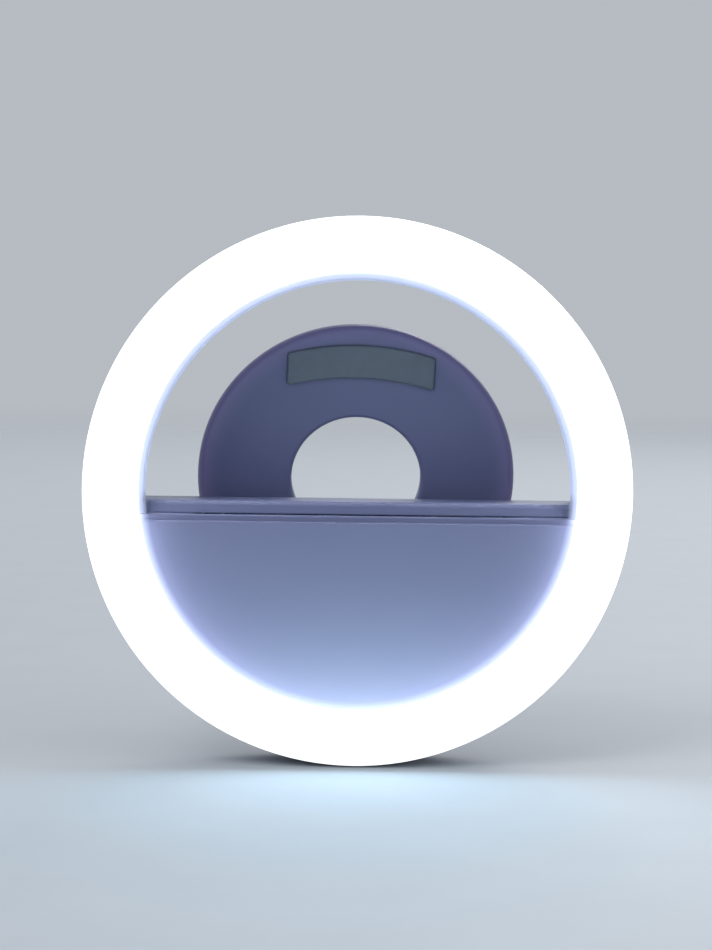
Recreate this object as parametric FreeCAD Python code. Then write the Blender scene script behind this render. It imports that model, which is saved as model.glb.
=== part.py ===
import FreeCAD, Part
import math
import os
from FreeCAD import Vector

# A clip-on ring light that runs on two small cells.
# Every piece is drawn in ring coordinates: x to the right, y is the depth behind the front
# crown, z is the height over the ring's centre. The finished pieces are then moved so that
# the light stands on its rim at z = 0, centred left to right and front to back.

# Ring: its opening just takes the bay with the cells, and its depth just covers them
channel_width = 8.367
seam_depth = 6.5
opening_draft = 6.0
rim_depth = 2.0
outer_wall = 1.3
inner_wall = 1.0
rear_wall = 1.4
rear_rounding = 2.0
rim_rounding = 0.4

# Diffuser
diffuser_wall = 1.2
diffuser_outer_rounding = 4.2
diffuser_inner_rounding = 3.0
diffuser_gap = 0.08
tongue_thickness = 0.5
tongue_length = 1.1
tongue_clearance = 0.08

# Bar across the opening and battery bay behind the cover
bar_top = -1.45
bar_fall = 0.35
bar_thickness = 1.35
bar_depth = 3.6
bar_rounding = 0.7
lip_drop = 0.66
lip_length = 1.4
lip_rounding = 0.2
bay_room = 0.79
bay_gap = 0.1
partition_thickness = 1.2
rib_width = 1.5
rib_spread = 24.0
rib_reach = 3.6

# Battery cover
cover_face_depth = 2.5
cover_thickness = 1.4
cover_step_width = 1.0
cover_step_drop = 0.6
cover_top_gap = 0.12
cover_edge_gap = 0.2
cover_rounding = 0.25
cover_seat_gap = 0.3
tab_width = 6.0
tab_spread = 26.0
tab_thickness = 0.8
tab_length = 1.0
tab_inset = 0.3

# Cells and their contacts
cell_radius = 5.25
cell_length = 44.5
cell_rounding = 0.4
nub_radius = 2.75
nub_length = 1.0
cell_gap = 0.3
cell_back_room = 0.9
cradle_clearance = 0.1
contact_thickness = 0.4
contact_width = 7.5
contact_margin = 1.15
contact_back_gap = 0.05
spring_space = 2.5
contact_wire = 0.45
contact_coil_base = 2.9
contact_coil_tip = 1.5
contact_coil_turns = 2.5
coil_end_gap = 0.05

# Light board
board_thickness = 1.0
board_sink = 0.3
board_edge_gap = 0.3
led_count = 36
led_width = 3.5
led_reach = 2.8
led_height = 0.8
led_cup_radius = 1.1
led_cup_depth = 0.15
resistor_count = 12
resistor_width = 1.6
resistor_reach = 0.8
resistor_height = 0.5
resistor_inset = 2.0
resistor_start = 10.0
chip_width = 4.9
chip_reach = 3.9
chip_height = 1.5
chip_angle = 290.0
capacitor_width = 3.2
capacitor_reach = 1.6
capacitor_height = 1.2
capacitor_angle = 300.0
screw_angles = (35.0, 145.0, 215.0, 325.0)
post_radius = 1.9
pilot_radius = 0.8
pilot_depth = 6.0
screw_clearance = 0.02
screw_hole_gap = 0.1
screw_length = 5.0
screw_head_radius = 1.2
screw_head_height = 0.7
screw_slot_length = 1.7
screw_slot_width = 0.35
screw_slot_depth = 0.35

# Leads from the contacts to the board
lead_diameter = 0.9
lead_rise = 1.8
lead_bend = 1.5
lead_board_inset = 0.6
lead_inset = 0.5
notch_margin = 1.0

# Power button and its switch
button_rise = 3.3
button_length = 8.0
button_width = 3.6
button_sink = 0.15
button_clearance = 0.15
button_rounding = 0.3
button_travel = 0.4
flange_extra = 0.7
flange_thickness = 0.8
flange_gap = 0.5
finger_sink = 0.5
finger_length = 15.0
finger_width = 6.5
stem_radius = 1.0
stem_clearance = 0.06
stem_length = 1.5
stem_height = 1.8
switch_gap = 0.6
switch_reach = 3.0
switch_length = 6.0
switch_height = 3.6
bore_spare = 0.2

# Clip: pivot, lever, pad and spring
pivot_height = -6.0
pin_radius = 1.0
pin_clearance = 0.05
pin_seat_clearance = 0.02
pin_head_extra = 0.6
pin_head_height = 0.7
eye_wall = 0.9
knuckle_root = 0.5
ear_inside = 12.1
ear_thickness = 2.0
lug_thickness = 2.1
lug_side_gap = 0.3
clip_tilt = 15.5
clip_radius = 25.35
clip_hole_radius = 10.35
clip_height = 0.95
clip_thickness = 3.0
clip_edge_rounding = 1.2
clip_hole_rounding = 0.7
spring_wire = 0.7
spring_bore_gap = 0.4
spring_back_gap = 0.3
spring_clip_gap = 0.25
spring_pitch = 1.2
spring_full_turns = 4
spring_leg = 9.0
pad_width = 23.2
pad_height = 5.2
pad_arc_radius = 41.0
pad_edge = 3.0
pad_shift = 0.5
pad_turn = 1.5
pad_thickness = 0.8
pad_recess = 0.3
pad_margin = 0.1
pad_corner = 0.45
pad_rounding = 0.2

# Pads on the back of the ring
seat_pad_margin = 1.3
seat_pad_width = 3.6
seat_pad_thickness = 1.0
seat_pad_rounding = 0.3
seat_pad_span = 36.0
seat_pad_angles = (20.0, 90.0, 160.0)

# Places that follow from the sizes above: bar, cover and cells
bar_bottom = bar_top - bar_thickness
bar_back_top = bar_top - bar_fall
lip_bottom = bar_bottom - lip_drop
cover_back = cover_face_depth + cover_thickness
cover_top = lip_bottom - cover_top_gap
cell_front = cover_back + cover_seat_gap
cell_depth = cell_front + cell_radius
upper_cell_height = bar_bottom - cell_gap - cell_radius
lower_cell_height = upper_cell_height - 2 * cell_radius - cell_gap
contact_face = (cell_length + spring_space) / 2
contact_half = cell_radius - contact_margin
contact_low = lower_cell_height - contact_half
partition_face = contact_face + contact_thickness + contact_back_gap
bay_radius = math.hypot(contact_face + contact_thickness, contact_low) + bay_room

# Ring round the bay
outer_radius = bay_radius + channel_width
cavity_outer = outer_radius - outer_wall
rear_inside = cell_front + 2 * cell_radius + cell_back_room
rear_depth = rear_inside + rear_wall
opening_slope = math.tan(math.radians(opening_draft))
rim_radius = bay_radius - diffuser_gap
opening_radius = rim_radius - inner_wall - (seam_depth - rim_depth) * opening_slope
diffuser_inner = bay_radius
cover_radius = bay_radius - cover_edge_gap
bay_ceiling = (bar_bottom + bar_back_top) / 2
seat_pad_outer = outer_radius - rear_rounding - seat_pad_margin
seat_pad_inner = seat_pad_outer - seat_pad_width

# Board in the ring, with the lamps along the middle of the channel
board_front = seam_depth - board_sink
board_rear = board_front + board_thickness
board_inner = diffuser_inner + board_edge_gap
board_outer = cavity_outer - board_edge_gap
bay_front = board_rear + bay_gap
led_radius = (diffuser_inner + diffuser_wall + cavity_outer) / 2
resistor_radius = led_radius - resistor_inset
lead_depth = board_rear + lead_rise
lead_board_radius = led_radius - lead_board_inset
lead_gap_height = (upper_cell_height + lower_cell_height) / 2
lead_spread = lead_inset + contact_margin

# Button and switch at the right
button_depth = board_rear + button_rise
button_face = outer_radius - button_sink
finger_flat = outer_radius - finger_sink
flange_face = cavity_outer - flange_gap
stem_depth = board_rear + stem_height
stem_tip = flange_face - flange_thickness
switch_face = stem_tip - switch_gap

# Clip
spring_radius = pin_radius + spring_bore_gap + spring_wire / 2
spring_outer = spring_radius + spring_wire / 2
pivot_depth = rear_depth + spring_outer + spring_back_gap
clip_face_gap = spring_outer + spring_clip_gap
knuckle_radius = pin_radius + eye_wall
pin_head_radius = pin_radius + pin_head_extra
pad_top = clip_radius - pad_edge

# How far cutting tools reach past what they cut, and how near two points are one
overlap = 0.5
touching = 1e-6

ORIGIN = Vector(0, 0, 0)
RIGHT = Vector(1, 0, 0)
BACK = Vector(0, 1, 0)
UP = Vector(0, 0, 1)


def opening_at(depth):
    """Radius of the opening's wall, which widens towards the back."""
    return opening_radius + (depth - rim_depth) * opening_slope


# Drawing helpers

def rounded_wire(corners):
    """Closed wire in the x-y plane. Each corner is (x, y, rounding)."""
    count = len(corners)
    arcs = []
    ends = []
    for index in range(count):
        x, y, rounding = corners[index]
        here = Vector(x, y, 0)
        back = Vector(corners[index - 1][0], corners[index - 1][1], 0) - here
        ahead = Vector(corners[(index + 1) % count][0], corners[(index + 1) % count][1], 0) - here
        back.normalize()
        ahead.normalize()
        half = back.getAngle(ahead) / 2
        reach = rounding / math.tan(half)
        start = here + back * reach
        end = here + ahead * reach
        if rounding:
            inward = (back + ahead).normalize()
            middle = here + inward * (rounding / math.sin(half) - rounding)
            arcs.append(Part.Arc(start, middle, end).toShape())
        ends.append((start, end))
    edges = list(arcs)
    for index in range(count):
        start = ends[index][1]
        end = ends[(index + 1) % count][0]
        if not start.isEqual(end, touching):
            edges.append(Part.LineSegment(start, end).toShape())
    return Part.Wire(Part.__sortEdges__(edges))


def turned_solid(corners):
    """Solid of revolution about the ring's axis. Each corner is (radius, depth, rounding)."""
    return Part.Face(rounded_wire(corners)).revolve(ORIGIN, BACK, 360)


def tube(inner, outer, front, back):
    """Plain ring between two radii and two depths."""
    return turned_solid([(inner, front, 0), (outer, front, 0), (outer, back, 0), (inner, back, 0)])


def rod(radius, start, end):
    """Cylinder from one point to another."""
    return Part.makeCylinder(radius, start.distanceToPoint(end), start, end - start)


def block(x_range, y_range, z_range):
    """Box between the two values of each range."""
    low = Vector(x_range[0], y_range[0], z_range[0])
    return Part.makeBox(x_range[1] - x_range[0], y_range[1] - y_range[0], z_range[1] - z_range[0], low)


def below(height):
    """Everything of the ring that lies under a height."""
    reach = 2 * outer_radius
    return block((-reach, reach), (-reach, reach), (-reach, height))


def oblong(length, width, x_range, depth):
    """Bar along x with round ends: length along z, width along y."""
    half = (length - width) / 2
    ends = [rod(width / 2, Vector(x_range[0], depth, side * half), Vector(x_range[1], depth, side * half))
            for side in (-1, 1)]
    middle = block(x_range, (depth - width / 2, depth + width / 2), (-half, half))
    return middle.fuse(ends).removeSplitter()


def swung(shape, degrees):
    """Copy of a shape turned about the ring's axis, 0 at the right and 90 at the top."""
    copy = shape.copy()
    copy.rotate(ORIGIN, BACK, -degrees)
    return copy


def swung_group(shape, angles):
    """One copy of a shape at each angle, as separate solids."""
    return Part.makeCompound([swung(shape, angle) for angle in angles])


def smoothed(shape, radius, wanted):
    """Fillet of the edges that a test picks."""
    edges = [edge for edge in shape.Edges if wanted(edge)]
    return shape.makeFillet(radius, edges)


def biarc(start, start_way, end, end_way):
    """Two arcs that join two points with the given directions."""
    chord = end - start
    ways = start_way + end_way
    bend = 2 * (1 - start_way.dot(end_way))
    along = chord.dot(ways)
    reach = (math.sqrt(along * along + bend * chord.dot(chord)) - along) / bend
    first = start + start_way * reach
    second = end - end_way * reach
    joint = (first + second) * 0.5
    return [arc_by_corner(start, first, joint), arc_by_corner(joint, second, end)]


def arc_by_corner(start, corner, end):
    """Arc that touches the two sides of a corner at equal distances."""
    chord_middle = (start + end) * 0.5
    slope = chord_middle.distanceToPoint(start) / corner.distanceToPoint(start)
    middle = chord_middle + (corner - chord_middle) * (slope / (1 + slope))
    return Part.Arc(start, middle, end).toShape()


def coil_points(radius_at, pitch, start_angle, turns):
    """Points and directions a quarter turn apart, on a coil about the x axis."""
    steps = math.ceil(abs(turns) * 4)
    points = []
    for step in range(steps + 1):
        share = step / steps
        angle = start_angle + 2 * math.pi * turns * share
        radius = radius_at(share)
        sense = math.copysign(1, turns)
        growth = (radius_at(1) - radius_at(0)) / (2 * math.pi * abs(turns))
        out = Vector(0, math.cos(angle), math.sin(angle))
        round_way = Vector(0, -math.sin(angle), math.cos(angle)) * sense
        place = out * radius + RIGHT * (pitch * abs(turns) * share)
        way = (round_way * radius + out * growth + RIGHT * (pitch / (2 * math.pi))).normalize()
        points.append((place, way))
    return points


def coil_edges(points):
    """Smooth run of arcs through the points of a coil."""
    edges = []
    for (start, start_way), (end, end_way) in zip(points, points[1:]):
        edges.extend(biarc(start, start_way, end, end_way))
    return edges


def wire_solid(edges, diameter):
    """Round wire that follows a path."""
    path = Part.Wire(edges)
    start = edges[0].Vertexes[0].Point
    way = edges[0].tangentAt(edges[0].FirstParameter)
    section = Part.Wire(Part.makeCircle(diameter / 2, start, way))
    return path.makePipeShell([section], True, False)


def print_least_gap(name, edges, diameter, turn_length):
    """Tells how near the turns of a coil come to each other."""
    places = []
    walked = 0
    for edge in edges:
        for share in range(8):
            parameter = edge.FirstParameter + (edge.LastParameter - edge.FirstParameter) * share / 8
            places.append((walked + edge.Length * share / 8, edge.valueAt(parameter)))
        walked += edge.Length
    least = min(one.distanceToPoint(other) - diameter
                for at, one in places for way, other in places if way - at > turn_length / 2)
    print(name, "least gap between turns", round(least, 2), "mm")


# Housing

def housing_shell():
    """Outer wall, back and the widening wall of the opening, before the bay is made."""
    rebate = cavity_outer + tongue_thickness + 2 * tongue_clearance
    rebate_end = seam_depth + tongue_length + tongue_clearance
    return turned_solid([
        (outer_radius, seam_depth, 0),
        (outer_radius, rear_depth, rear_rounding),
        (opening_at(rear_depth), rear_depth, rim_rounding),
        (opening_radius, rim_depth, rim_rounding),
        (rim_radius, rim_depth, rim_rounding),
        (rim_radius, seam_depth, 0),
        (opening_at(rear_inside) + inner_wall, rear_inside, 0),
        (cavity_outer, rear_inside, rear_rounding / 2),
        (cavity_outer, rebate_end, 0),
        (rebate, rebate_end, 0),
        (rebate, seam_depth, 0),
    ])


def bay_core():
    """Space that the bar and the bay's inner walls may fill."""
    half = inner_wall / 2
    return turned_solid([
        (0, bar_depth, 0),
        (opening_at(bar_depth) + half, bar_depth, 0),
        (opening_at(bay_front) + half, bay_front, 0),
        (bay_radius + half, bay_front, 0),
        (bay_radius + half, rear_depth, 0),
        (0, rear_depth, 0),
    ])


def band(corners):
    """Straight band right across the ring. Each corner is (height, depth, rounding)."""
    section = Part.Face(rounded_wire([(-height, depth, rounding) for height, depth, rounding in corners]))
    section.rotate(ORIGIN, BACK, 90)
    section.translate(RIGHT * -outer_radius)
    return section.extrude(RIGHT * 2 * outer_radius)


def bar():
    """Shelf across the opening, lower at the back, with a lip that hangs in front of the bay."""
    return band([
        (bar_top, bar_depth, bar_rounding),
        (bar_back_top, rear_depth, 0),
        (bar_bottom, rear_depth, 0),
        (bar_bottom, bar_depth + lip_length, 0),
        (lip_bottom, bar_depth + lip_length, 0),
        (lip_bottom, bar_depth, lip_rounding),
    ])


def bay_mouth():
    """Room for the cells and the cover, up to the lip."""
    return rod(bay_radius, ORIGIN, BACK * rear_inside).common(below(lip_bottom))


def bay_walls():
    """Back plate, round wall, two partitions and the ribs that cradle the cells."""
    plate = rod(bay_radius + inner_wall / 2, BACK * rear_inside, BACK * rear_depth)
    wall = tube(bay_radius, bay_radius + inner_wall, bay_front, rear_depth - rear_wall / 2)
    pieces = [plate.common(below(bay_ceiling)), wall.common(below(bay_ceiling))]
    core = bay_core().common(below(bay_ceiling))
    partition = block((partition_face, partition_face + partition_thickness),
                      (cell_front, rear_inside + rear_wall / 2), (-outer_radius, 0)).common(core)
    pieces += [partition, partition.mirror(ORIGIN, RIGHT)]
    for side in (-1, 1):
        middle = side * rib_spread / 2
        rib = block((middle - rib_width / 2, middle + rib_width / 2),
                    (rear_inside - rib_reach, rear_inside + rear_wall / 2), (-outer_radius, 0))
        pieces.append(rib.common(core))
    return pieces


def screw_posts():
    """Posts behind the board, one at each screw."""
    foot = Vector(led_radius, rear_inside + rear_wall / 2, 0)
    post = rod(post_radius, Vector(led_radius, board_rear, 0), foot)
    return [swung(post, angle) for angle in screw_angles]


def knuckle(x_range, reach):
    """Rounded eye about the pivot, with a root that runs along y for the given reach."""
    eye = rod(knuckle_radius, Vector(x_range[0], 0, 0), Vector(x_range[1], 0, 0))
    root = block(x_range, (min(0, reach), max(0, reach)), (-knuckle_radius, knuckle_radius))
    return eye.fuse(root).removeSplitter()


def housing_ears():
    """Two ears on the back that carry the pivot pin."""
    ears = []
    reach = rear_depth - pivot_depth - knuckle_root
    for x_range in ((-ear_inside - ear_thickness, -ear_inside), (ear_inside, ear_inside + ear_thickness)):
        ear = knuckle(x_range, reach)
        ear.translate(Vector(0, pivot_depth, pivot_height))
        ears.append(ear)
    return ears


def lead_notches():
    """Gaps that let the leads through the partition and the bay's round wall."""
    low = lead_gap_height - lead_spread - notch_margin
    high = lead_gap_height + lead_spread + notch_margin
    back = lead_depth + lead_diameter / 2 + notch_margin
    through_partition = block((contact_face, partition_face + partition_thickness + overlap),
                              (0, back), (low, high))
    wall_x = math.sqrt(bay_radius ** 2 - high ** 2)
    deep_x = math.sqrt(bay_radius ** 2 - low ** 2)
    wall_zone = tube(bay_radius - 2 * inner_wall, board_outer, bay_front, back)
    through_wall = block((deep_x - 2 * inner_wall, wall_x + 2 * inner_wall), (0, back), (low, high))
    return [through_partition, through_wall.common(wall_zone)]


def cell_space(height):
    """Room for one cell in the cradle ribs."""
    radius = cell_radius + cradle_clearance
    return rod(radius, Vector(-contact_face, cell_depth, height), Vector(contact_face, cell_depth, height))


def make_rear_housing():
    shell = housing_shell().cut(bay_mouth())
    for piece in bay_walls() + screw_posts() + housing_ears() + [bar().common(bay_core())]:
        shell = shell.fuse(piece)
    pilot = rod(pilot_radius, Vector(led_radius, board_rear - overlap, 0),
                Vector(led_radius, board_rear + pilot_depth, 0))
    cuts = [swung(pilot, angle) for angle in screw_angles]
    cuts += [cell_space(upper_cell_height), cell_space(lower_cell_height)]
    cuts += lead_notches()
    pin_reach = ear_inside + 2 * ear_thickness
    cuts.append(rod(pin_radius + pin_seat_clearance, Vector(-pin_reach, pivot_depth, pivot_height),
                    Vector(pin_reach, pivot_depth, pivot_height)))
    cuts.append(oblong(finger_length, finger_width, (finger_flat, outer_radius + overlap), button_depth))
    room = 2 * button_clearance
    cuts.append(oblong(button_length + room, button_width + room,
                       (flange_face, outer_radius + overlap), button_depth))
    return shell.cut(cuts).removeSplitter()


# Front

def make_diffuser_ring():
    """Domed channel with a tongue that slips inside the housing's edge."""
    tongue_in = cavity_outer + tongue_clearance
    tongue_out = tongue_in + tongue_thickness
    tongue_end = seam_depth + tongue_length
    inside = diffuser_inner + diffuser_wall
    return turned_solid([
        (outer_radius, seam_depth, 0),
        (outer_radius, 0, diffuser_outer_rounding),
        (diffuser_inner, 0, diffuser_inner_rounding),
        (diffuser_inner, board_front, 0),
        (inside, board_front, 0),
        (inside, diffuser_wall, diffuser_inner_rounding - diffuser_wall),
        (tongue_in, diffuser_wall, diffuser_outer_rounding - diffuser_wall),
        (tongue_in, tongue_end, 0),
        (tongue_out, tongue_end, 0),
        (tongue_out, seam_depth, 0),
    ])


def cover_plate():
    """Half-moon plate whose straight edge carries a narrow step."""
    disc = turned_solid([
        (0, cover_face_depth - overlap, 0),
        (cover_radius - cover_rounding - overlap, cover_face_depth - overlap, 0),
        (cover_radius, cover_face_depth + cover_rounding, 0),
        (cover_radius, cover_back + overlap, 0),
        (0, cover_back + overlap, 0),
    ])
    floor = -2 * outer_radius
    face_top = cover_top - cover_step_width
    step_depth = cover_face_depth + cover_step_drop
    return disc.common(band([
        (cover_top, step_depth, cover_rounding),
        (face_top, step_depth, 0),
        (face_top, cover_face_depth, cover_rounding),
        (floor, cover_face_depth, 0),
        (floor, cover_back, 0),
        (cover_top, cover_back, 0),
    ]))


def make_battery_cover():
    """Cover plate with tabs behind it that locate it in the bay."""
    top = cover_top - tab_inset
    tabs = []
    for side in (-1, 1):
        middle = side * tab_spread / 2
        tabs.append(block((middle - tab_width / 2, middle + tab_width / 2),
                          (cover_back - cover_thickness / 2, cover_back + tab_length),
                          (top - tab_thickness, top)))
    ring_tab = tube(cover_radius - tab_inset - tab_thickness, cover_radius - tab_inset,
                    cover_back - cover_thickness / 2, cover_back + tab_length)
    foot = block((-tab_width, tab_width), (0, rear_depth), (-outer_radius, 0))
    tabs.append(ring_tab.common(foot))
    return cover_plate().fuse(tabs).removeSplitter()


# Light board and what sits on it

def make_led_board():
    board = tube(board_inner, board_outer, board_front, board_rear)
    hole = rod(pilot_radius + screw_hole_gap, Vector(led_radius, board_front - overlap, 0),
               Vector(led_radius, board_rear + overlap, 0))
    return board.cut([swung(hole, angle) for angle in screw_angles])


def board_chip(width, reach, height, radius, front):
    """Rectangular component centred at the right of the ring."""
    return block((radius - reach / 2, radius + reach / 2), (front, front + height), (-width / 2, width / 2))


def make_leds():
    package = board_chip(led_width, led_reach, led_height, led_radius, board_front - led_height)
    cup = rod(led_cup_radius, Vector(led_radius, board_front - led_height - overlap, 0),
              Vector(led_radius, board_front - led_height + led_cup_depth, 0))
    return swung_group(package.cut(cup), [360 / led_count * index for index in range(led_count)])


def make_board_resistors():
    resistor = board_chip(resistor_width, resistor_reach, resistor_height, resistor_radius, board_rear)
    angles = [resistor_start + 360 / resistor_count * index for index in range(resistor_count)]
    return swung_group(resistor, angles)


def make_controller_chip():
    return swung(board_chip(chip_width, chip_reach, chip_height, led_radius, board_rear), chip_angle)


def make_filter_capacitor():
    part = board_chip(capacitor_width, capacitor_reach, capacitor_height, led_radius, board_rear)
    return swung(part, capacitor_angle)


def make_board_screws():
    centre = Vector(led_radius, 0, 0)
    shank = rod(pilot_radius - screw_clearance, centre + BACK * board_front,
                centre + BACK * (board_front + screw_length))
    head_front = board_front - screw_head_height
    head = rod(screw_head_radius, centre + BACK * head_front, centre + BACK * board_front)
    slots = []
    long_half = screw_slot_length / 2
    slim_half = screw_slot_width / 2
    for along, across in ((long_half, slim_half), (slim_half, long_half)):
        slots.append(block((led_radius - along, led_radius + along),
                           (head_front - overlap, head_front + screw_slot_depth), (-across, across)))
    screw = head.fuse(shank).cut(slots).removeSplitter()
    return swung_group(screw, screw_angles)


# Cells, contacts and leads

def make_cell(height, sense):
    """Cell with its raised end towards +x for sense 1 and towards -x for sense -1."""
    flat_end = -sense * (contact_face - spring_space)
    shoulder = sense * (contact_face - nub_length)
    shoulder_point = Vector(shoulder, cell_depth, height)
    body = rod(cell_radius, Vector(flat_end, cell_depth, height), shoulder_point)
    body = smoothed(body, cell_rounding, lambda edge: edge.BoundBox.XLength < cell_rounding)
    nub = rod(nub_radius, shoulder_point, Vector(sense * contact_face, cell_depth, height))
    return body.fuse(nub).removeSplitter()


def contact_plate(side, low, high):
    """Thin upright plate against a partition."""
    x_range = sorted((side * contact_face, side * (contact_face + contact_thickness)))
    return block(x_range, (cell_depth - contact_width / 2, cell_depth + contact_width / 2), (low, high))


def plate_span(height):
    return height - contact_half, height + contact_half


def make_contact_bridge():
    return contact_plate(-1, contact_low, upper_cell_height + contact_half)


def make_contact_positive():
    return contact_plate(1, *plate_span(upper_cell_height))


def make_contact_negative():
    return contact_plate(1, *plate_span(lower_cell_height))


def contact_spring_edges(height, sense):
    """Conical coil from a contact plate to the flat end of a cell."""
    end_room = contact_wire / 2 + coil_end_gap
    length = spring_space - 2 * end_room
    points = coil_points(lambda share: contact_coil_base + (contact_coil_tip - contact_coil_base) * share,
                         length / contact_coil_turns, 0, contact_coil_turns)
    edges = coil_edges(points)
    for edge in edges:
        edge.translate(Vector(-contact_face + end_room, cell_depth, height))
        if sense < 0:
            edge.rotate(Vector(0, cell_depth, height), UP, 180)
    return edges


def make_contact_springs():
    springs = []
    for height, sense in ((upper_cell_height, 1), (lower_cell_height, -1)):
        edges = contact_spring_edges(height, sense)
        print_least_gap("contact spring", edges, contact_wire, 2 * math.pi * contact_coil_tip)
        springs.append(wire_solid(edges, contact_wire))
    return Part.makeCompound(springs)


def make_lead(side):
    """Insulated lead from a contact plate to the back of the board."""
    height = lead_gap_height + side * lead_spread
    end_x = math.sqrt(lead_board_radius ** 2 - height ** 2)
    start = Vector(contact_face + contact_thickness, lead_depth, height)
    corner = Vector(end_x, lead_depth, height)
    end = Vector(end_x, board_rear, height)
    before = corner - RIGHT * lead_bend
    after = corner - BACK * lead_bend
    edges = [Part.LineSegment(start, before).toShape(), arc_by_corner(before, corner, after),
             Part.LineSegment(after, end).toShape()]
    return wire_solid(edges, lead_diameter)


# Power button

def make_switch_body():
    body = block((switch_face - switch_reach, switch_face), (board_rear, board_rear + switch_height),
                 (-switch_length / 2, switch_length / 2))
    bore_end = stem_tip - stem_length - button_travel - bore_spare
    bore = rod(stem_radius + stem_clearance, Vector(bore_end, stem_depth, 0), Vector(stem_tip, stem_depth, 0))
    return body.cut(bore)


def make_switch_stem():
    return rod(stem_radius, Vector(stem_tip - stem_length, stem_depth, 0), Vector(stem_tip, stem_depth, 0))


def make_power_button():
    cap = oblong(button_length, button_width, (flange_face - flange_thickness, button_face), button_depth)
    cap = smoothed(cap, button_rounding, lambda edge: edge.BoundBox.XMin > button_face - button_rounding)
    flange = oblong(button_length + 2 * flange_extra, button_width + 2 * flange_extra,
                    (flange_face - flange_thickness, flange_face), button_depth)
    return cap.fuse(flange).removeSplitter()


# Clip

def at_pivot(shape):
    """Takes a piece drawn about the pivot, upright, to its leaning place behind the ring."""
    shape.rotate(ORIGIN, RIGHT, clip_tilt)
    shape.translate(Vector(0, pivot_depth, pivot_height))
    return shape


def clip_centre():
    """Distance of the disc's centre from the pivot, along the disc, for its height in the opening."""
    lean = math.radians(clip_tilt)
    return (clip_height - pivot_height - clip_face_gap * math.sin(lean)) / math.cos(lean)


def pad_solid(margin, front, back):
    """Curved strip on the disc: two like arcs with upright ends."""
    half = pad_width / 2 + margin
    drop = pad_arc_radius - math.sqrt(pad_arc_radius ** 2 - half ** 2)
    top = pad_top + margin
    bottom = pad_top - pad_height - margin
    upper_left, lower_left = Vector(-half, front, top - drop), Vector(-half, front, bottom - drop)
    upper_right, lower_right = Vector(half, front, top - drop), Vector(half, front, bottom - drop)
    edges = [Part.Arc(upper_left, Vector(0, front, top), upper_right).toShape(),
             Part.LineSegment(upper_right, lower_right).toShape(),
             Part.Arc(lower_right, Vector(0, front, bottom), lower_left).toShape(),
             Part.LineSegment(lower_left, upper_left).toShape()]
    strip = Part.Face(Part.Wire(edges)).extrude(BACK * (back - front))
    strip = smoothed(strip, pad_corner + margin, lambda edge: edge.BoundBox.YLength > (back - front) / 2)
    strip.rotate(Vector(0, 0, (top + bottom) / 2), BACK, pad_turn)
    strip.translate(Vector(pad_shift, 0, clip_centre()))
    return strip


def make_clip_lever():
    """Disc with a round hole, a recess for its pad and two lugs on the pivot pin."""
    back = clip_face_gap + clip_thickness
    disc = turned_solid([
        (clip_hole_radius, clip_face_gap, clip_hole_rounding),
        (clip_radius, clip_face_gap, clip_edge_rounding),
        (clip_radius, back, clip_edge_rounding),
        (clip_hole_radius, back, clip_hole_rounding),
    ])
    disc.translate(UP * clip_centre())
    outer = ear_inside - lug_side_gap
    inner = outer - lug_thickness
    lugs = [knuckle((-outer, -inner), clip_face_gap + knuckle_root),
            knuckle((inner, outer), clip_face_gap + knuckle_root)]
    lever = disc.fuse(lugs)
    bore = rod(pin_radius + pin_clearance, RIGHT * -ear_inside, RIGHT * ear_inside)
    recess = pad_solid(pad_margin, 0, clip_face_gap + pad_recess)
    return at_pivot(lever.cut([bore, recess]).removeSplitter())


def make_clip_pad():
    floor = clip_face_gap + pad_recess
    pad = pad_solid(0, floor - pad_thickness, floor)
    front = floor - pad_thickness + pad_rounding
    return at_pivot(smoothed(pad, pad_rounding, lambda edge: edge.BoundBox.YMax < front))


def make_pivot_pin():
    end = ear_inside + ear_thickness
    shaft = rod(pin_radius, RIGHT * -end, RIGHT * end)
    head = rod(pin_head_radius, RIGHT * end, RIGHT * (end + pin_head_height))
    pin = shaft.fuse(head).removeSplitter()
    pin.translate(Vector(0, pivot_depth, pivot_height))
    return pin


def make_torsion_spring():
    """Coil round the pin with one leg on the housing and one on the lever, both downwards."""
    lean = math.radians(clip_tilt)
    turns = spring_full_turns + (math.pi - lean) / (2 * math.pi)
    points = coil_points(lambda share: spring_radius, spring_pitch, math.pi, -turns)
    first, first_way = points[0]
    last, last_way = points[-1]
    edges = [Part.LineSegment(first - first_way * spring_leg, first).toShape()]
    edges += coil_edges(points)
    edges.append(Part.LineSegment(last, last + last_way * spring_leg).toShape())
    print_least_gap("torsion spring", edges[1:-1], spring_wire, 2 * math.pi * spring_radius)
    for edge in edges:
        edge.translate(Vector(-turns * spring_pitch / 2, pivot_depth, pivot_height))
    return wire_solid(edges, spring_wire)


def make_seat_pads():
    """Soft strips on the flat back of the ring."""
    back = rear_depth + seat_pad_thickness
    section = Part.Face(rounded_wire([
        (seat_pad_inner, rear_depth, 0),
        (seat_pad_outer, rear_depth, 0),
        (seat_pad_outer, back, seat_pad_rounding),
        (seat_pad_inner, back, seat_pad_rounding),
    ]))
    pad = swung(section.revolve(ORIGIN, BACK, seat_pad_span), seat_pad_span / 2)
    return swung_group(pad, seat_pad_angles)


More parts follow.
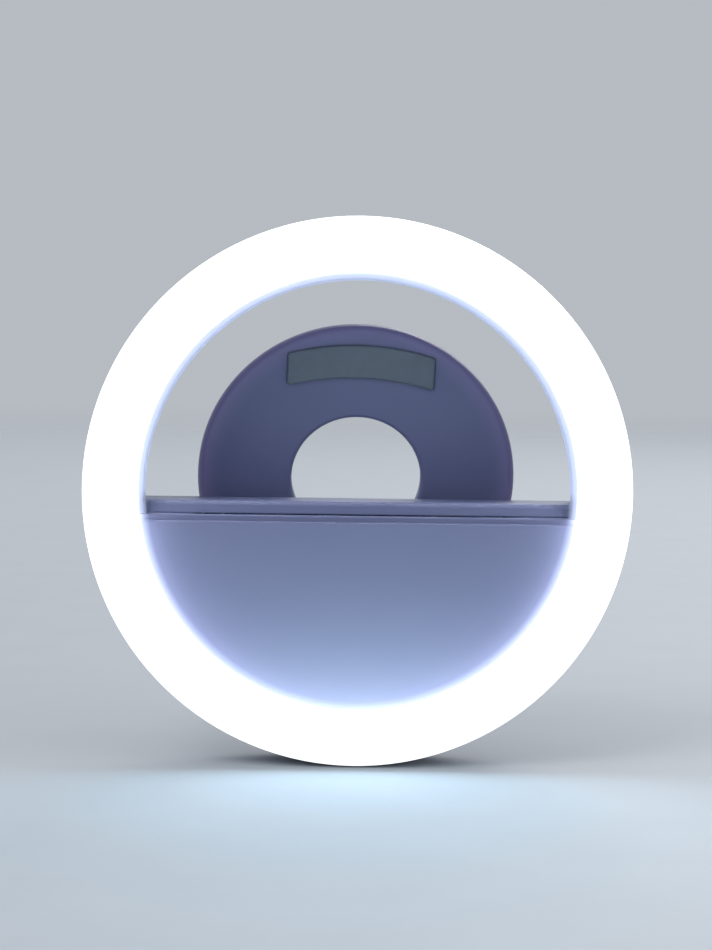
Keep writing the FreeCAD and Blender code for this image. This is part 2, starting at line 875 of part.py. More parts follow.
def make_all():
    return {
        "rear_housing": make_rear_housing(),
        "diffuser_ring": make_diffuser_ring(),
        "battery_cover": make_battery_cover(),
        "led_board": make_led_board(),
        "leds": make_leds(),
        "board_resistors": make_board_resistors(),
        "controller_chip": make_controller_chip(),
        "filter_capacitor": make_filter_capacitor(),
        "board_screws": make_board_screws(),
        "cell_upper": make_cell(upper_cell_height, 1),
        "cell_lower": make_cell(lower_cell_height, -1),
        "contact_bridge": make_contact_bridge(),
        "contact_positive": make_contact_positive(),
        "contact_negative": make_contact_negative(),
        "contact_springs": make_contact_springs(),
        "lead_red": make_lead(1),
        "lead_black": make_lead(-1),
        "switch_body": make_switch_body(),
        "switch_stem": make_switch_stem(),
        "power_button": make_power_button(),
        "clip_lever": make_clip_lever(),
        "clip_pad": make_clip_pad(),
        "pivot_pin": make_pivot_pin(),
        "torsion_spring": make_torsion_spring(),
        "seat_pads": make_seat_pads(),
    }


def write_parts():
    os.makedirs("parts", exist_ok=True)
    pieces = make_all()
    overall_depth = pieces["clip_lever"].optimalBoundingBox(False, False).YMax
    shift = Vector(0, -overall_depth / 2, outer_radius)
    for name, shape in pieces.items():
        shape.translate(shift)
        print(name, "solids", len(shape.Solids), "volume", round(shape.Volume, 1), "valid", shape.isValid())
        shape.exportStep(os.path.join("parts", name + ".step"))
    print("overall depth", round(overall_depth, 6), "outer radius", round(outer_radius, 6))
    print("pivot", Vector(0, pivot_depth, pivot_height) + shift)
    seat_height = (seat_pad_inner + seat_pad_outer) / 2
    print("top seat pad", Vector(0, rear_depth + seat_pad_thickness, seat_height) + shift)


write_parts()
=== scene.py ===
import math

import bpy
from mathutils import Matrix, Vector, noise as ripples


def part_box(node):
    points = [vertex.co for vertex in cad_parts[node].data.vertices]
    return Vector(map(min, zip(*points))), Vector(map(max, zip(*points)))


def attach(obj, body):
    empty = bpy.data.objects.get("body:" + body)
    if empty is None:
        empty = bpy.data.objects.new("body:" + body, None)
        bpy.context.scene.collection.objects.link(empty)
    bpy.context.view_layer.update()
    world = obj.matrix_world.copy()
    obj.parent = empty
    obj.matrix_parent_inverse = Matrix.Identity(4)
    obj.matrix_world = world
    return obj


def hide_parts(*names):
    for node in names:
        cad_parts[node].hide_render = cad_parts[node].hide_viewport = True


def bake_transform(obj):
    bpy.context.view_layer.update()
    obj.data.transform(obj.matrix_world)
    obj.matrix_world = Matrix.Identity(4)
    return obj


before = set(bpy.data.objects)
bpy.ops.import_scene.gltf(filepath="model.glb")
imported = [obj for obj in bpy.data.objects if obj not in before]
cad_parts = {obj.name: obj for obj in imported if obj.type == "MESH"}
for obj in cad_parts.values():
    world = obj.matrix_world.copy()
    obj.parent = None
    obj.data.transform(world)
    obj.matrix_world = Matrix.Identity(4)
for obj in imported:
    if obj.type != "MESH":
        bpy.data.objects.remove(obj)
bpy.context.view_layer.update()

MM = 0.001
MICRON = 0.001 * MM

# The photograph's view: the sensor in Blender's own millimetres, and turns in degrees
IMAGE_HEIGHT = 950
FOCAL_PIXELS = 2627
SENSOR = 36.0
NEAREST_SEEN = 10 * MM
CAMERA_DISTANCE = 400 * MM
CAMERA_LEFT = 9.0 * MM
CAMERA_RISE = 27.6 * MM
CAMERA_PITCH = 3.526
CAMERA_YAW = 1.227
CAMERA_ROLL = 0.83

# The ring's measures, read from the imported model. Its inside is the cover's round edge and the gap there.
COVER_GAP = 0.2 * MM
COVER_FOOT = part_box("battery_cover")[0].z
ring_low, ring_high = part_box("diffuser_ring")
RING_RADIUS = (ring_high.x - ring_low.x) / 2
RING_CENTRE = Vector((0, ring_low.y, ring_low.z + RING_RADIUS))
RING_INSIDE = RING_CENTRE.z - COVER_FOOT + COVER_GAP

# The lit ring: the light that it sheds, the white that it shows on its face and at its inner edge,
# and how little it darkens between two lamps and in its cloudy patches
GLOW = (21.0, 20.5, 19.0)
FACE_WHITE = (1.06, 1.08, 1.10)
EDGE_WHITE = (0.74, 0.86, 1.05)
CROWN_OUTWARD = (-0.1 * MM, 1.4 * MM)
CROWN_BEHIND = (2.5 * MM, 7.5 * MM)
BETWEEN_LAMPS = 0.95
CLOUDED = 0.97
DIFFUSER_BODY = (0.88, 0.91, 0.95)

# Painted glow in place of the ring's light falling on the shell: the opening's wall, a band next to the
# ring and the disc's rim. Each pair is where a fade starts and ends: outward of the ring's inside, behind
# its front or over its axis.
PAINTED_WALL_GLOW = (0.27, 0.33, 0.45)
WALL_OUTWARD = (0.5 * MM, 1.9 * MM)
WALL_BEHIND = (2.0 * MM, 11.0 * MM)
WALL_ABOVE = (-1.6 * MM, 1.0 * MM)
PAINTED_BAND_GLOW = (0.37, 0.41, 0.44)
BAND_WIDTH = 2.0 * MM
BAND_BEHIND = (3.6 * MM, 5.6 * MM)
PAINTED_RIM_GLOW = (0.030, 0.020, 0.046)
RIM_START = 0.84

# Unseen lamps: the ring's light on the floor, and what the floor throws back
SPILL_POWER = 0.055
SPILL_TINT = (0.60, 0.86, 1.0)
SPILL_SHARE = 0.9
BOUNCE_POWER = 0.03
BOUNCE_TINT = (0.82, 1.0, 0.76)
BOUNCE_WIDTH = 50 * MM
BOUNCE_DEPTH = 12 * MM
BOUNCE_RISE = 0.2 * MM

# Cells and the ring's own lamps
CELL_BAND = 12.0 * MM
CELL_NUB = 1.0 * MM
CELL_LIP = 0.4 * MM
CELL_BLUR = 0.05 * MM
LAMP_COUNT = 36
LAMP_REACH = 2.8 * MM
LAMP_DOT = 1.05 * MM
LAMP_BLUR = 0.1 * MM
LAMP_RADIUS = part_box("leds")[1].x - LAMP_REACH / 2

# Soft pads
PAD_RIPPLE = 900
PAD_UNEVEN = 0.02 * MM
PAD_SWELL = 0.05 * MM
PAD_CROWN = 0.02 * MM
PAD_SMOOTHING = 5
CLIP_PAD_GRAIN = 0.14 * MM
SEAT_PAD_GRAIN = 0.2 * MM

# Moulded plastic: the range of its roughness, the cosine of the lean at which an edge counts as flat and
# as rubbed and highlit, how much lighter it is there (partly wear, partly a painted highlight), and its
# scratches
SHELL_GLOSS = (0.34, 0.46)
BUTTON_GLOSS = (0.22, 0.32)
EDGE_FLAT = 0.995
EDGE_RUBBED_AND_HIGHLIT = 0.75
RUB_AND_HIGHLIGHT_SHADE = 1.45
SCRATCH_STRETCH = (30, 240, 240)
SCRATCH_TURN = (0.2, 0.5, 0.9)
SCRATCH_WIDTH = 0.005
SCRATCH_PATCHES = (0.54, 0.60)

# Colours as they render in plain light
LAVENDER = (0.120, 0.138, 0.255)
# The clip is a lighter copy of the same lavender: painted light on the disc.
CLIP_PAINTED_LIGHT = 1.04
BUTTON_SHADE = 0.9
CLIP_FOAM = (0.115, 0.150, 0.185)
SEAT_FOAM = (0.085, 0.095, 0.105)
CELL_BODY = (0.05, 0.07, 0.12)
CELL_LIGHT = (0.30, 0.34, 0.38)
CELL_METAL = (0.68, 0.67, 0.65)
LAMP_CASE = (0.78, 0.78, 0.72)
LAMP_PHOSPHOR = (0.84, 0.66, 0.10)
UNLIT = (0, 0, 0)

# Small moulded pieces: finish, colour, roughness and the nodes that wear it
MOULDINGS = (
    ("board_white", (0.82, 0.83, 0.82), 0.4, ["led_board"]),
    ("chip_black", (0.02, 0.02, 0.022), 0.5, ["board_resistors", "controller_chip", "switch_body"]),
    ("chip_tan", (0.32, 0.2, 0.11), 0.35, ["filter_capacitor"]),
    ("stem_white", (0.75, 0.75, 0.72), 0.4, ["switch_stem"]),
    ("insulation_red", (0.45, 0.02, 0.02), 0.35, ["lead_red"]),
    ("insulation_black", (0.015, 0.015, 0.015), 0.35, ["lead_black"]),
)

# Bare metal pieces: finish, colour, roughness, stretch of the draw lines and the nodes that wear it
METALS = (
    ("plain_steel", (0.62, 0.62, 0.64), 0.3, (0.1, 1, 1), ["pivot_pin", "board_screws"]),
    ("spring_steel", (0.42, 0.42, 0.44), 0.34, (1, 1, 1), ["torsion_spring"]),
    ("nickel_plate", (0.70, 0.68, 0.63), 0.22, (1, 1, 1),
     ["contact_bridge", "contact_positive", "contact_negative", "contact_springs"]),
)

# Room and floor
ROOM_LIGHT = (0.56, 0.59, 0.63)
BACKDROP = (0.47, 0.50, 0.54)
FLOOR_DARK = (0.47, 0.50, 0.53)
FLOOR_PALE = (0.51, 0.54, 0.57)
FLOOR_RADIUS = 3.0
FLOOR_SIDES = 96
FLOOR_FADE = (0.35, 1.6)
FLOOR_ROUGHNESS = 0.6

# Studio lamps: name, place, size, power and tint
STUDIO_LAMPS = (
    ("key", (-0.55, -0.75, 0.85), 0.6, 4.5, (1, 1, 1)),
    ("fill", (0.8, -0.5, 0.4), 0.8, 1.5, (0.95, 0.97, 1.0)),
    ("back", (0.35, 0.9, 0.7), 0.7, 4.0, (1, 1, 1)),
)

# The range that holds most of a noise's values, and the colour sockets of a Mix node
NOISE_CORE = (0.3, 0.7)
MIX_FIRST, MIX_SECOND, MIX_RESULT = 6, 7, 2


# Shader nodes

def add(tree, kind, values=None, **settings):
    """A node with its settings and its unlinked input values."""
    node = tree.nodes.new("ShaderNode" + kind)
    for name, value in settings.items():
        setattr(node, name, value)
    for name, value in (values or {}).items():
        node.inputs[name].default_value = value
    return node


def join(tree, source, output, target, entry):
    tree.links.new(source.outputs[output], target.inputs[entry])


def fresh(name, **values):
    """A new material: its tree, its shader and coordinates in metres."""
    material = bpy.data.materials.new(name)
    material.use_nodes = True
    tree = material.node_tree
    shader = tree.nodes["Principled BSDF"]
    for entry, value in values.items():
        shader.inputs[entry.replace("_", " ")].default_value = value
    where = add(tree, "TexCoord")
    return material, tree, shader, where


def noise(tree, where, scale, detail=3.0, roughness=0.55, output="Object"):
    node = add(tree, "TexNoise", {"Scale": scale, "Detail": detail, "Roughness": roughness})
    join(tree, where, output, node, "Vector")
    return node


def stretched(tree, where, scale, turn=(0, 0, 0)):
    node = add(tree, "Mapping", {"Scale": scale, "Rotation": turn})
    join(tree, where, "Object", node, "Vector")
    return node


def reckon(tree, operation, source, output, second=None):
    """A sum on one linked value, with a fixed second value where it needs one."""
    node = add(tree, "Math", operation=operation)
    join(tree, source, output, node, 0)
    if second is not None:
        node.inputs[1].default_value = second
    return node


def pair(tree, operation, first, first_output, second, second_output):
    """A sum on two linked values."""
    node = reckon(tree, operation, first, first_output)
    join(tree, second, second_output, node, 1)
    return node


def product(tree, first, first_output, second, second_output):
    return pair(tree, "MULTIPLY", first, first_output, second, second_output)


def diagonal(tree, first, first_output, second, second_output):
    """Length of the diagonal over two linked sides."""
    flat = add(tree, "CombineXYZ")
    join(tree, first, first_output, flat, "X")
    join(tree, second, second_output, flat, "Y")
    length = add(tree, "VectorMath", operation="LENGTH")
    join(tree, flat, "Vector", length, 0)
    return length


def span(tree, source, output, low, high, start=0.0, end=1.0, smooth=False):
    """Maps a value from one range to another, and keeps it inside."""
    node = add(tree, "MapRange", {"From Min": start, "From Max": end, "To Min": low, "To Max": high})
    node.interpolation_type = "SMOOTHSTEP" if smooth else "LINEAR"
    join(tree, source, output, node, "Value")
    return node


def rise(tree, source, output, start, end):
    """Nought up to the start, one from the end on."""
    return span(tree, source, output, 0.0, 1.0, start, end, smooth=True)


def fall(tree, source, output, start, end):
    """One up to the start, nought from the end on."""
    return span(tree, source, output, 1.0, 0.0, start, end, smooth=True)


def shifted(place, between):
    """A pair of places, measured from another place."""
    start, end = between
    return place + start, place + end


def blend_colours(tree, factor, output, first, second):
    """The socket of a mix of two colours, each a plain one or another node's socket."""
    node = add(tree, "Mix", data_type="RGBA")
    join(tree, factor, output, node, "Factor")
    for entry, colour in ((MIX_FIRST, first), (MIX_SECOND, second)):
        if isinstance(colour, bpy.types.NodeSocket):
            tree.links.new(colour, node.inputs[entry])
        else:
            node.inputs[entry].default_value = (*colour, 1)
    return node.outputs[MIX_RESULT]


def scaled(colour, factor):
    return tuple(min(1.0, channel * factor) for channel in colour)


# What finishes have in common

def mottled(tree, pattern, colour, dark, light):
    """The colour's socket, a little darker and lighter over a noise."""
    return blend_colours(tree, pattern, "Fac", scaled(colour, dark), scaled(colour, light))


def vary_gloss(tree, shader, pattern, low, high, core=NOISE_CORE):
    """Lets the roughness run from low to high over a noise."""
    gloss = span(tree, pattern, "Fac", low, high, *core)
    join(tree, gloss, "Result", shader, "Roughness")


def shine(tree, colour):
    """Lets a surface give off the colour of a socket."""
    shader = tree.nodes["Principled BSDF"]
    tree.links.new(colour, shader.inputs["Emission Color"])
    shader.inputs["Emission Strength"].default_value = 1.0


def soft_edges(tree, radius):
    """The socket of a normal that rounds sharp edges."""
    return add(tree, "Bevel", {"Radius": radius}, samples=6).outputs["Normal"]


def edge_mask(tree, rounded):
    """One along sharp edges and nought on flats, from how far the rounded normal leans."""
    flat = add(tree, "NewGeometry")
    lean = add(tree, "VectorMath", operation="DOT_PRODUCT")
    tree.links.new(rounded, lean.inputs[0])
    join(tree, flat, "Normal", lean, 1)
    return span(tree, lean, "Value", 1.0, 0.0, EDGE_RUBBED_AND_HIGHLIT, EDGE_FLAT)


def bumps(tree, shader, normal, layers):
    """Stacks bump layers of (height node, output, depth) on a normal."""
    for height, output, depth in layers:
        bump = add(tree, "Bump", {"Strength": 1.0, "Distance": depth})
        join(tree, height, output, bump, "Height")
        tree.links.new(normal, bump.inputs["Normal"])
        normal = bump.outputs["Normal"]
    tree.links.new(normal, shader.inputs["Normal"])


def ring_places(tree, where):
    """Distance from the ring's axis, the split coordinates, and the height over the axis."""
    split = add(tree, "SeparateXYZ")
    join(tree, where, "Object", split, "Vector")
    up = reckon(tree, "SUBTRACT", split, "Z", RING_CENTRE.z)
    radius = diagonal(tree, split, "X", up, "Value")
    return radius, split, up


def hairlines(tree, where):
    """Sparse thin scratches: lines where a stretched noise crosses its middle value."""
    slanted = stretched(tree, where, SCRATCH_STRETCH, SCRATCH_TURN)
    field = noise(tree, slanted, scale=1.0, detail=1.0, roughness=0.4, output="Vector")
    middle = reckon(tree, "SUBTRACT", field, "Fac", 0.5)
    away = reckon(tree, "ABSOLUTE", middle, "Value")
    line = span(tree, away, "Value", 1.0, 0.0, 0.0, SCRATCH_WIDTH)
    sparse = noise(tree, where, scale=70, detail=2.0)
    shown = span(tree, sparse, "Fac", 0.0, 1.0, *SCRATCH_PATCHES)
    return product(tree, line, "Result", shown, "Result")


# Finishes

def moulded_plastic(name, colour, gloss):
    """Satin moulded plastic: fine spark grain, faint flow pattern, edges lighter in patches from rubbing
    and from a painted highlight, hairline scratches.
    """
    material, tree, shader, where = fresh(name, IOR=1.49, Specular_IOR_Level=0.4)
    flow = noise(tree, where, scale=45, detail=2.0, roughness=0.5)
    body = mottled(tree, flow, colour, dark=0.965, light=1.03)
    rounded = soft_edges(tree, radius=0.18 * MM)
    # Edges lighter in patches: partly wear from rubbing, partly a painted highlight.
    patchy = noise(tree, where, scale=900, detail=4.0, roughness=0.7)
    rub_and_highlight_patches = span(tree, patchy, "Fac", 0.7, 1.0, *NOISE_CORE)
    wear_and_highlight_mask = product(tree, edge_mask(tree, rounded), "Result", rub_and_highlight_patches, "Result")
    wear_and_highlight_colour = blend_colours(tree, wear_and_highlight_mask, "Value", body, scaled(colour, RUB_AND_HIGHLIGHT_SHADE))
    tree.links.new(wear_and_highlight_colour, shader.inputs["Base Color"])
    smears = noise(tree, where, scale=130, detail=5.0, roughness=0.6)
    vary_gloss(tree, shader, smears, *gloss)
    spark = noise(tree, where, scale=5200, detail=2.0, roughness=0.6)
    peel = noise(tree, where, scale=380, detail=1.0, roughness=0.4)
    scratches = hairlines(tree, where)
    bumps(tree, shader, rounded,
          [(peel, "Fac", 4 * MICRON), (spark, "Fac", 4 * MICRON), (scratches, "Value", 2 * MICRON)])
    return material


def paint_ring_glow(material):
    """Painted glow for the ring's light: a band next to the ring, and the opening's thin wall above the
    axis.
    """
    tree = material.node_tree
    radius, split, up = ring_places(tree, tree.nodes["Texture Coordinate"])
    near = fall(tree, radius, "Value", *shifted(RING_INSIDE, WALL_OUTWARD))
    front = fall(tree, split, "Y", *shifted(RING_CENTRE.y, WALL_BEHIND))
    above = rise(tree, up, "Value", *WALL_ABOVE)
    both = product(tree, near, "Result", front, "Result")
    wall = product(tree, both, "Value", above, "Result")
    reach = rise(tree, radius, "Value", RING_INSIDE - BAND_WIDTH, RING_INSIDE)
    face = fall(tree, split, "Y", *shifted(RING_CENTRE.y, BAND_BEHIND))
    beside = product(tree, reach, "Result", face, "Result")
    band = product(tree, beside, "Value", near, "Result")
    # Painted glow: the wall and the band give off light where the ring's light would fall on them.
    painted_wall_light = blend_colours(tree, wall, "Value", UNLIT, PAINTED_WALL_GLOW)
    shine(tree, blend_colours(tree, band, "Value", painted_wall_light, PAINTED_BAND_GLOW))
    return material


def paint_rim_glow(material, node):
    """Painted glow at the edge of a round piece, more the nearer its outline, in place of light falling on
    its rim.
    """
    tree = material.node_tree
    low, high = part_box(node)
    half = (high - low) / 2
    inward = add(tree, "VectorMath", {1: (low + high) / 2}, operation="SUBTRACT")
    join(tree, tree.nodes["Texture Coordinate"], "Object", inward, 0)
    share = add(tree, "VectorMath", {1: (1 / half.x, 0, 1 / half.z)}, operation="MULTIPLY")
    join(tree, inward, "Vector", share, 0)
    reach = add(tree, "VectorMath", operation="LENGTH")
    join(tree, share, "Vector", reach, 0)
    # Painted rim light: the disc's edge gives off light.
    rim = rise(tree, reach, "Value", RIM_START, 1.0)
    shine(tree, blend_colours(tree, rim, "Result", UNLIT, PAINTED_RIM_GLOW))
    return material


def lit_diffuser():
    """Frosted plastic lit from inside. It shows white, cooler at its inner edge, and sheds far more."""
    material, tree, shader, where = fresh("lit_diffuser", IOR=1.46)
    material.cycles.emission_sampling = "FRONT"
    shader.inputs["Base Color"].default_value = (*DIFFUSER_BODY, 1)
    radius, split, up = ring_places(tree, where)
    inner = rise(tree, radius, "Value", *shifted(RING_INSIDE, CROWN_OUTWARD))
    depth = fall(tree, split, "Y", *shifted(RING_CENTRE.y, CROWN_BEHIND))
    crown = product(tree, inner, "Result", depth, "Result")
    white = blend_colours(tree, crown, "Value", EDGE_WHITE, FACE_WHITE)
    angle = pair(tree, "ARCTAN2", up, "Value", split, "X")
    beat = reckon(tree, "MULTIPLY", angle, "Value", LAMP_COUNT)
    wave = reckon(tree, "COSINE", beat, "Value")
    spots = span(tree, wave, "Value", BETWEEN_LAMPS, 1.0, -1.0, 1.0)
    cloud = noise(tree, where, scale=90, detail=2.0)
    milky = span(tree, cloud, "Fac", CLOUDED, 1.0)
    level = product(tree, spots, "Result", milky, "Result")
    shown = add(tree, "Mix", {"Factor": 1.0}, data_type="RGBA", blend_type="MULTIPLY")
    tree.links.new(white, shown.inputs[MIX_FIRST])
    join(tree, level, "Value", shown, MIX_SECOND)
    path = add(tree, "LightPath")
    shine(tree, blend_colours(tree, path, "Is Camera Ray", GLOW, shown.outputs[MIX_RESULT]))
    vary_gloss(tree, shader, cloud, low=0.38, high=0.5, core=(0.0, 1.0))
    frost = noise(tree, where, scale=2600, detail=3.0, roughness=0.6)
    bumps(tree, shader, soft_edges(tree, radius=0.15 * MM), [(frost, "Fac", 8 * MICRON)])
    return material


def soft_rubber(name, colour):
    """Matt soft pad with a fine open grain."""
    material, tree, shader, where = fresh(name, Sheen_Weight=0.15, Sheen_Roughness=0.4, IOR=1.42)
    patches = noise(tree, where, scale=420, detail=5.0, roughness=0.65)
    tree.links.new(mottled(tree, patches, colour, dark=0.82, light=1.16), shader.inputs["Base Color"])
    vary_gloss(tree, shader, patches, low=0.62, high=0.86)
    pores = add(tree, "TexVoronoi", {"Scale": 3300.0})
    join(tree, where, "Object", pores, "Vector")
    lumps = noise(tree, where, scale=1500)
    bumps(tree, shader, soft_edges(tree, radius=0.15 * MM),
          [(lumps, "Fac", 30 * MICRON), (pores, "Distance", 30 * MICRON)])
    return material


def drawn_metal(name, colour, roughness, along):
    """Bare metal with draw lines along one axis and darker patches."""
    material, tree, shader, where = fresh(name, Metallic=1.0)
    patches = noise(tree, where, scale=300, detail=4.0, roughness=0.6)
    tree.links.new(mottled(tree, patches, colour, dark=0.8, light=1.1), shader.inputs["Base Color"])
    vary_gloss(tree, shader, patches, low=roughness * 0.8, high=roughness * 1.35)
    lines = add(tree, "TexNoise", {"Scale": 5000.0, "Detail": 2.0})
    join(tree, stretched(tree, where, along), "Vector", lines, "Vector")
    bumps(tree, shader, soft_edges(tree, radius=0.1 * MM), [(lines, "Fac", 6 * MICRON)])
    return material


def plain_moulding(name, colour, roughness):
    """Small moulded piece with a fine grain."""
    material, tree, shader, where = fresh(name, IOR=1.5)
    patches = noise(tree, where, scale=800, detail=4.0, roughness=0.6)
    tree.links.new(mottled(tree, patches, colour, dark=0.88, light=1.1), shader.inputs["Base Color"])
    vary_gloss(tree, shader, patches, low=roughness * 0.85, high=roughness * 1.2)
    fine = noise(tree, where, scale=3000, detail=2.0)
    bumps(tree, shader, soft_edges(tree, radius=0.08 * MM), [(fine, "Fac", 10 * MICRON)])
    return material


def cell_finish(node, sense):
    """Glossy printed jacket with a lighter band near the raised end. Both ends are bare metal."""
    material, tree, shader, where = fresh(node + "_finish", IOR=1.5)
    low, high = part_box(node)
    flat_end, raised_end = (low.x, high.x) if sense > 0 else (high.x, low.x)
    split = add(tree, "SeparateXYZ")
    join(tree, where, "Object", split, "Vector")

    def past(start, way):
        return span(tree, split, "X", 0.0, 1.0, start, start + way * CELL_BLUR)

    band = past(raised_end - sense * CELL_BAND, sense)
    lid = past(raised_end - sense * CELL_NUB, sense)
    base = past(flat_end + sense * CELL_LIP, -sense)
    metal = pair(tree, "MAXIMUM", lid, "Result", base, "Result")
    jacket = blend_colours(tree, band, "Result", CELL_BODY, CELL_LIGHT)
    coat = blend_colours(tree, metal, "Value", jacket, CELL_METAL)
    tree.links.new(coat, shader.inputs["Base Color"])
    join(tree, metal, "Value", shader, "Metallic")
    print_grain = noise(tree, where, scale=700)
    vary_gloss(tree, shader, print_grain, low=0.16, high=0.34)
    wrap = noise(tree, where, scale=160, detail=3.0, roughness=0.6)
    bumps(tree, shader, soft_edges(tree, radius=0.1 * MM),
          [(wrap, "Fac", 30 * MICRON), (print_grain, "Fac", 6 * MICRON)])
    return material


def led_finish():
    """Pale packages, each with a round of yellow phosphor in its face."""
    material, tree, shader, where = fresh("led_package", IOR=1.5)
    radius, split, up = ring_places(tree, where)
    angle = pair(tree, "ARCTAN2", up, "Value", split, "X")
    turns = reckon(tree, "PINGPONG", angle, "Value", math.pi / LAMP_COUNT)
    along = reckon(tree, "MULTIPLY", turns, "Value", LAMP_RADIUS)
    across = reckon(tree, "SUBTRACT", radius, "Value", LAMP_RADIUS)
    away = diagonal(tree, along, "Value", across, "Value")
    dot = span(tree, away, "Value", 1.0, 0.0, LAMP_DOT, LAMP_DOT + LAMP_BLUR)
    body = blend_colours(tree, dot, "Result", LAMP_CASE, LAMP_PHOSPHOR)
    tree.links.new(body, shader.inputs["Base Color"])
    fine = noise(tree, where, scale=4000, detail=2.0)
    vary_gloss(tree, shader, fine, low=0.2, high=0.4)
    bumps(tree, shader, soft_edges(tree, radius=0.05 * MM), [(fine, "Fac", 6 * MICRON)])
    return material


def paint(nodes, material):
    """Gives CAD nodes a finish."""
    for name in nodes:
        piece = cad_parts[name]
        piece.data.materials.clear()
        piece.data.materials.append(material)


def finish_cad():
    shell = moulded_plastic("lavender_shell", LAVENDER, SHELL_GLOSS)
    paint(["rear_housing"], paint_ring_glow(shell))
    cover = moulded_plastic("lavender_cover", LAVENDER, SHELL_GLOSS)
    paint(["battery_cover"], paint_ring_glow(cover))
    clip = moulded_plastic("lavender_clip", scaled(LAVENDER, CLIP_PAINTED_LIGHT), SHELL_GLOSS)
    paint(["clip_lever"], paint_rim_glow(clip, "clip_lever"))
    button = moulded_plastic("lavender_button", scaled(LAVENDER, BUTTON_SHADE), BUTTON_GLOSS)
    paint(["power_button"], button)
    paint(["diffuser_ring"], lit_diffuser())
    for *look, nodes in METALS:
        paint(nodes, drawn_metal(*look))
    for *look, nodes in MOULDINGS:
        paint(nodes, plain_moulding(*look))
    paint(["leds"], led_finish())
    paint(["cell_upper"], cell_finish("cell_upper", 1))
    paint(["cell_lower"], cell_finish("cell_lower", -1))


# Soft pads and spring

def soft_pad(node, body, fine, colour):
    """Foam pad in the space of a plain solid: rounded, a little swollen and faintly uneven."""
    piece = bpy.data.objects.new(node + "_foam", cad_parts[node].data.copy())
    bpy.context.scene.collection.objects.link(piece)
    broadest = max(piece.data.polygons, key=lambda face: face.area)
    outward = broadest.normal.copy()
    grain = piece.modifiers.new("grain", "REMESH")
    grain.mode = "VOXEL"
    grain.voxel_size = fine
    grain.use_smooth_shade = True
    round_off = piece.modifiers.new("round", "SMOOTH")
    round_off.iterations = PAD_SMOOTHING
    ready = piece.evaluated_get(bpy.context.evaluated_depsgraph_get())
    mesh = bpy.data.meshes.new_from_object(ready)
    piece.modifiers.clear()
    piece.data = mesh
    ways = [point.normal.copy() for point in mesh.vertices]
    for point, way in zip(mesh.vertices, ways):
        uneven = ripples.noise(point.co * PAD_RIPPLE) * PAD_UNEVEN
        point.co += way * (uneven + PAD_SWELL + PAD_CROWN * abs(way.dot(outward)))
    mesh.materials.clear()
    mesh.materials.append(soft_rubber(node + "_finish", colour))
    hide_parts(node)
    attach(piece, body)


def make_soft_pads():
    soft_pad("clip_pad", "clip", CLIP_PAD_GRAIN, CLIP_FOAM)
    soft_pad("seat_pads", "light", SEAT_PAD_GRAIN, SEAT_FOAM)


def make_winding_spring():
    """The spring as a copy of its CAD node's mesh, with its place baked into the points; the node itself is
    hidden.
    """
    node = "torsion_spring"
    spring = bpy.data.objects.new("winding_spring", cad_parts[node].data.copy())
    bpy.context.scene.collection.objects.link(spring)
    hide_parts(node)
    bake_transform(spring)


# Floor, light and camera

def make_floor():
    """Pale floor that fades into the pale surroundings."""
    bpy.ops.mesh.primitive_circle_add(vertices=FLOOR_SIDES, radius=FLOOR_RADIUS, fill_type="NGON")
    floor = bpy.context.object
    floor.name = "floor"
    material, tree, shader, where = fresh("pale_floor", Roughness=FLOOR_ROUGHNESS)
    grain = noise(tree, where, scale=60, detail=4.0)
    body = blend_colours(tree, grain, "Fac", FLOOR_DARK, FLOOR_PALE)
    tree.links.new(body, shader.inputs["Base Color"])
    reach = add(tree, "VectorMath", operation="LENGTH")
    join(tree, where, "Object", reach, 0)
    away = rise(tree, reach, "Value", *FLOOR_FADE)
    clear = add(tree, "BsdfTransparent")
    both = add(tree, "MixShader")
    join(tree, away, "Result", both, 0)
    join(tree, shader, "BSDF", both, 1)
    join(tree, clear, "BSDF", both, 2)
    join(tree, both, "Shader", tree.nodes["Material Output"], "Surface")
    floor.data.materials.append(material)
    return floor


def area_lamp(name, place, shape, size, power, tint):
    """Lamp with a flat face of a width and a height."""
    data = bpy.data.lights.new(name, "AREA")
    data.shape = shape
    data.size, data.size_y = size
    data.energy = power
    data.color = tint
    lamp = bpy.data.objects.new(name, data)
    lamp.location = place
    bpy.context.scene.collection.objects.link(lamp)
    return lamp


def studio_lamp(name, place, size, power, tint):
    """Soft square lamp that looks at the middle of the ring."""
    lamp = area_lamp(name, place, "SQUARE", (size, size), power, tint)
    lamp.rotation_mode = "QUATERNION"
    lamp.rotation_quaternion = (RING_CENTRE - lamp.location).to_track_quat("-Z", "Y")


def glow_lamp(name, place, tilt, shape, size, power, tint):
    """Unseen lamp that stands for the ring's own light, tilted from facing down."""
    lamp = area_lamp(name, place, shape, size, power, tint)
    lamp.rotation_euler = (math.radians(tilt), 0, 0)
    lamp.visible_camera = False
    lamp.visible_glossy = False
    return lamp


def light_only(light, group_name, things, state):
    """Lets a light reach just these things, or all but these."""
    group = bpy.data.collections.new(group_name)
    for thing in things:
        group.objects.link(thing)
    for member in group.collection_objects:
        member.light_linking.link_state = state
    light.light_linking.receiver_collection = group


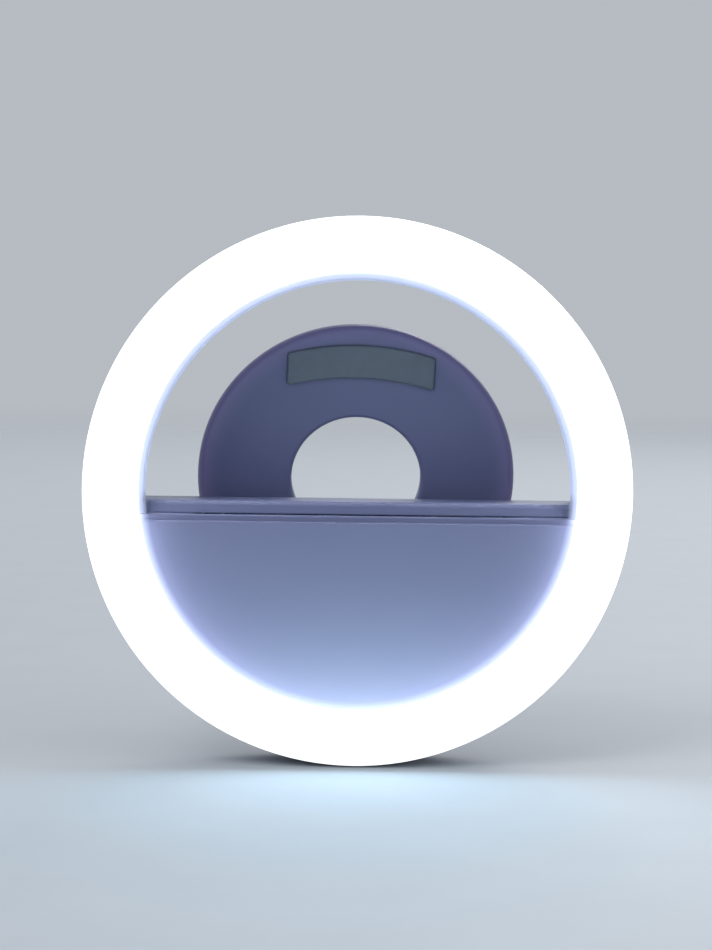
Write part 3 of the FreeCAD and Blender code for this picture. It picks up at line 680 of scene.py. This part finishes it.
def share_glow(floor):
    """The ring lights its own parts. Weak lamps stand for what it sheds on the floor and gets back."""
    light_only(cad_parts["diffuser_ring"], "all_but_floor", [floor], "EXCLUDE")
    across = 2 * RING_RADIUS * SPILL_SHARE
    spill = glow_lamp("ring_spill", RING_CENTRE, -90, "DISK", (across, across), SPILL_POWER, SPILL_TINT)
    light_only(spill, "floor_alone", [floor], "INCLUDE")
    before = Vector((0, RING_CENTRE.y - BOUNCE_DEPTH / 2, BOUNCE_RISE))
    patch = (BOUNCE_WIDTH, BOUNCE_DEPTH)
    bounce = glow_lamp("floor_bounce", before, 180, "RECTANGLE", patch, BOUNCE_POWER, BOUNCE_TINT)
    shells = [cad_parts[name] for name in ("rear_housing", "battery_cover", "clip_lever")]
    light_only(bounce, "shells_alone", shells, "INCLUDE")


def make_light():
    """A pale room and three soft lamps."""
    world = bpy.data.worlds.new("pale_room")
    world.use_nodes = True
    tree = world.node_tree
    seen = add(tree, "LightPath")
    shown = blend_colours(tree, seen, "Is Camera Ray", ROOM_LIGHT, BACKDROP)
    tree.links.new(shown, tree.nodes["Background"].inputs["Color"])
    bpy.context.scene.world = world
    for lamp in STUDIO_LAMPS:
        studio_lamp(*lamp)


def make_camera():
    """The photograph's view: a little above and to the left, turned and rolled as measured."""
    data = bpy.data.cameras.new("camera")
    data.sensor_width = SENSOR
    data.lens = FOCAL_PIXELS / IMAGE_HEIGHT * SENSOR
    data.clip_start = NEAREST_SEEN
    camera = bpy.data.objects.new("camera", data)
    pitch = math.radians(CAMERA_PITCH)
    yaw = math.radians(CAMERA_YAW)
    roll = math.radians(CAMERA_ROLL)
    level = math.cos(pitch)
    ahead = Vector((math.sin(yaw) * level, math.cos(yaw) * level, -math.sin(pitch)))
    right = Vector((math.cos(yaw), -math.sin(yaw), 0))
    above = right.cross(ahead)
    rolled_right = right * math.cos(roll) + above * math.sin(roll)
    rolled_up = rolled_right.cross(ahead)
    turn = Matrix((rolled_right, rolled_up, -ahead)).transposed().to_4x4()
    place = RING_CENTRE + Vector((-CAMERA_LEFT, -CAMERA_DISTANCE, CAMERA_RISE))
    camera.matrix_world = Matrix.Translation(place) @ turn
    bpy.context.scene.collection.objects.link(camera)
    bpy.context.scene.camera = camera


finish_cad()
make_soft_pads()
make_winding_spring()
share_glow(make_floor())
make_light()
make_camera()
bpy.context.scene.view_settings.view_transform = "Standard"
